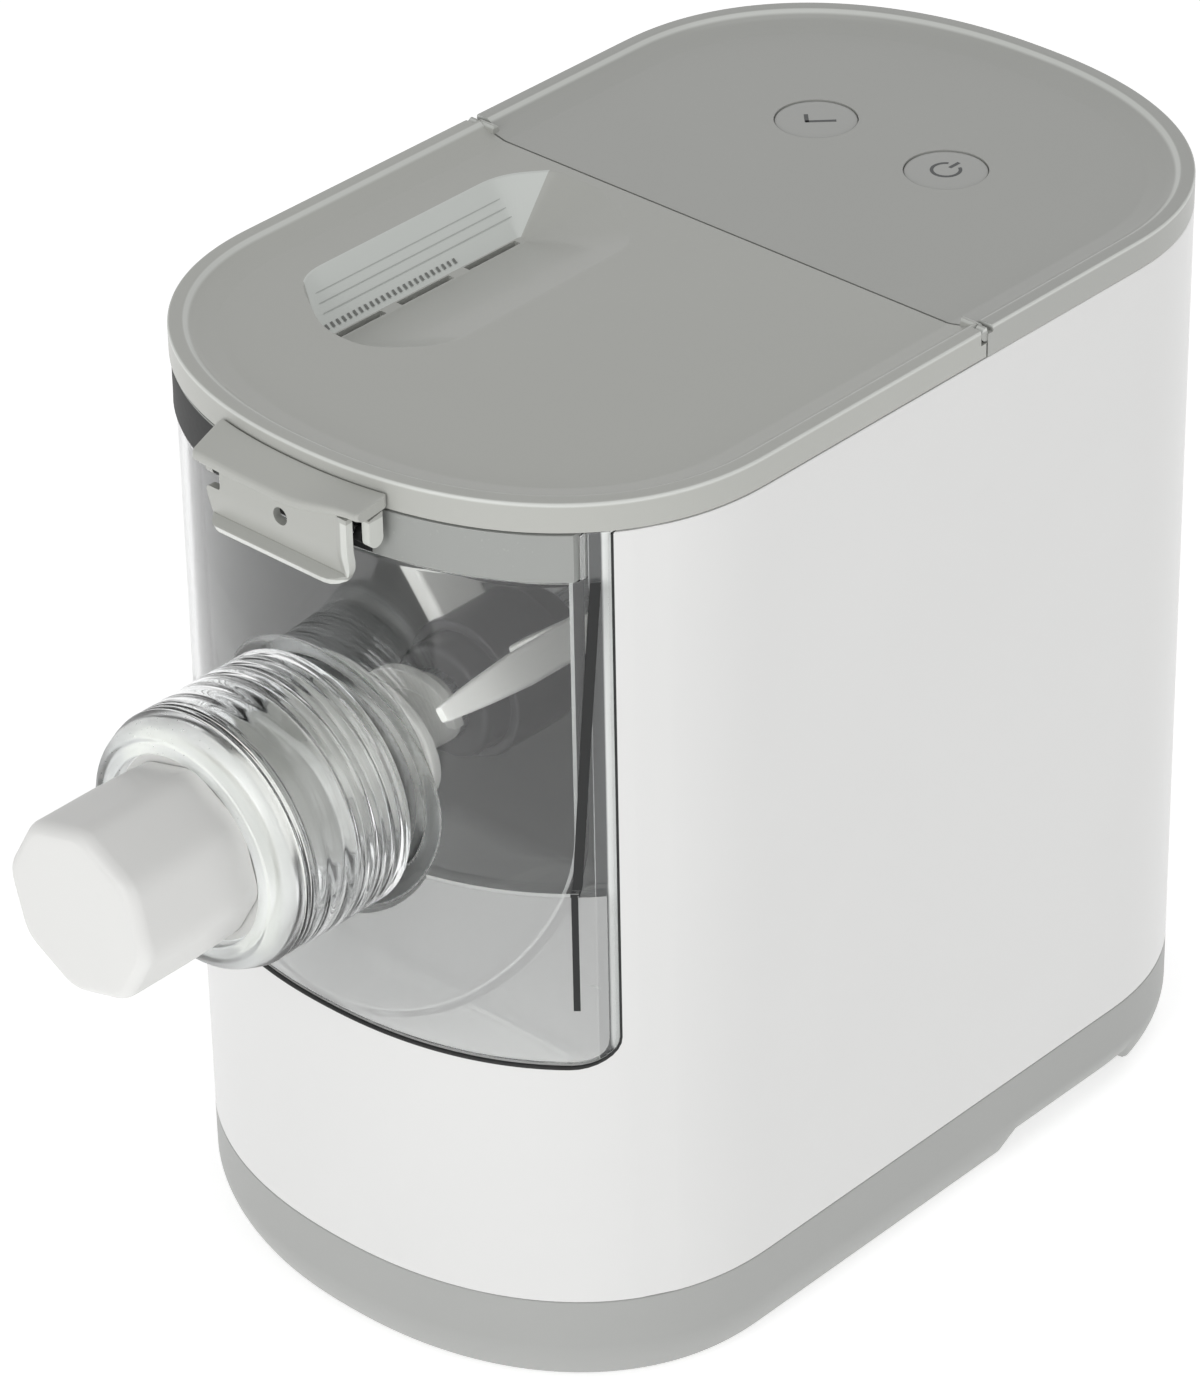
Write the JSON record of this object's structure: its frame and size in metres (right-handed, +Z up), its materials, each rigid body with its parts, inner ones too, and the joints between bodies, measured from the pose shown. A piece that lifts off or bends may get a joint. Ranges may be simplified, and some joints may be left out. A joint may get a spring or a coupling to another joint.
{
  "type": "electric pasta maker",
  "caption": "Electric pasta maker: a clear mixing cup slides in a front bay under a hinged dished lid with a water scoop, and a screw presses dough to a clamp nut and a capped outlet.",
  "frame": {"origin": "bottom centre of the whole machine's box, on the table under the feet", "axes": "+Z is up, -Y is the front where the nozzle stands out, +X is the side to the right hand of someone who faces the front's nozzle"},
  "size_m": [0.166, 0.3434, 0.25],
  "materials": {
    "white_shell": "satin",
    "top_grey": "fine satin",
    "base_grey": "satin",
    "bay_grey": "satin",
    "case_grey": "moulded",
    "liner_grey": "satin",
    "collar_grey": "frosted",
    "latch_grey": "satin",
    "button_grey": "satin",
    "clear_plastic": "polished clear",
    "white_plastic": "satin",
    "cap_white": "satin",
    "hub_dark": "satin",
    "gear_cream": "moulded",
    "black_plastic": "moulded",
    "board_green": "solder mask",
    "rubber": "matt",
    "steel": "machined",
    "motor_steel": "zinc plated",
    "bronze": "sintered"
  },
  "bodies": {
    "base": {"base_tray": "base_grey", "rubber_feet": "rubber", "base_screws": "steel", "outer_housing": "white_shell", "cup_bay": "bay_grey", "rear_panel": "top_grey", "power_inlet": "black_plastic", "inlet_pins": "steel", "gear_front_plate": "case_grey", "gear_case": "case_grey", "gear_screws": "steel", "shaft_bushes": "bronze", "motor_can": "motor_steel", "motor_end_cap": "motor_steel", "motor_cradle": "steel", "motor_bushes": "rubber", "control_board": "board_green", "tact_switches": "black_plastic", "lid_sensor": "black_plastic", "hinge_pins": "steel", "start_spring": "steel", "power_spring": "steel"},
    "lid": {"lid": "top_grey", "lid_liner": "liner_grey", "lid_magnet": "steel"},
    "start_button": {"start_button": "button_grey"},
    "power_button": {"power_button": "button_grey"},
    "cup": {"mixing_cup": "clear_plastic", "cup_front": "clear_plastic", "cup_collar": "collar_grey", "extrusion_barrel": "clear_plastic", "shaft_seal": "rubber", "latch_pin": "steel", "latch_spring": "steel", "die_seal": "rubber"},
    "latch": {"latch": "latch_grey"},
    "disc": {"shaping_disc": "white_plastic"},
    "nut": {"clamp_nut": "clear_plastic"},
    "cap": {"outlet_cap": "cap_white"},
    "screw": {"mixing_shaft": "steel", "paddle_hub": "hub_dark", "mixing_paddle": "white_plastic", "auger": "white_plastic"},
    "output": {"output_shaft": "steel", "output_gear": "gear_cream"},
    "idler": {"idler_shaft": "steel", "idler_gear": "gear_cream", "idler_pinion": "steel"},
    "rotor": {"motor_shaft": "steel", "motor_rotor": "motor_steel", "motor_pinion": "bronze", "cooling_fan": "black_plastic"}
  },
  "joints": [
    {"name": "lid_hinge", "type": "hinge", "parent": "base", "child": "lid", "pos_m": [0, 0.0489, 0.2482], "axis": [-1, 0, 0], "range_deg": [0, 90]},
    {"name": "start_press", "type": "slide", "parent": "base", "child": "start_button", "axis": [0, 0, -1], "range_m": [0, 0.001], "stiffness_N_per_m": 900, "springref_m": -0.001, "deforming": ["start_spring"]},
    {"name": "power_press", "type": "slide", "parent": "base", "child": "power_button", "axis": [0, 0, -1], "range_m": [0, 0.001], "stiffness_N_per_m": 900, "springref_m": -0.001, "deforming": ["power_spring"]},
    {"name": "cup_slide", "type": "slide", "parent": "base", "child": "cup", "axis": [0, -1, 0], "range_m": [0, 0.15]},
    {"name": "latch_turn", "type": "hinge", "parent": "cup", "child": "latch", "pos_m": [0, -0.0971, 0.2365], "axis": [1, 0, 0], "range_deg": [0, 14], "stiffness_Nm_per_rad": 0.2, "springref_deg": -5.73},
    {"name": "disc_travel", "type": "slide", "parent": "cup", "child": "disc", "axis": [0, -1, 0], "range_m": [0, 0.0221]},
    {"name": "nut_turn", "type": "hinge", "parent": "disc", "child": "nut", "pos_m": [0, -0.1118, 0.161], "axis": [0, -1, 0], "range_deg": [0, 1440]},
    {"name": "cap_pull", "type": "slide", "parent": "nut", "child": "cap", "axis": [0, -1, 0], "range_m": [0, 0.03]},
    {"name": "rotor_spin", "type": "hinge", "parent": "base", "child": "rotor", "pos_m": [0, 0.1132, 0.074], "axis": [0, 1, 0], "continuous": true},
    {"name": "idler_spin", "type": "hinge", "parent": "base", "child": "idler", "pos_m": [0, 0.0682, 0.1115], "axis": [0, 1, 0], "continuous": true},
    {"name": "output_spin", "type": "hinge", "parent": "base", "child": "output", "pos_m": [0, 0.0682, 0.161], "axis": [0, 1, 0], "continuous": true},
    {"name": "screw_spin", "type": "hinge", "parent": "cup", "child": "screw", "pos_m": [0, -0.0318, 0.161], "axis": [0, 1, 0], "continuous": true}
  ],
  "couplings": [
    {"joint": "disc_travel", "follows": "nut_turn", "m_per_rad": 0.00087535},
    {"joint": "idler_spin", "follows": "rotor_spin", "ratio": -0.25},
    {"joint": "output_spin", "follows": "rotor_spin", "ratio": 0.055556},
    {"joint": "screw_spin", "follows": "rotor_spin", "ratio": 0.055556}
  ]
}
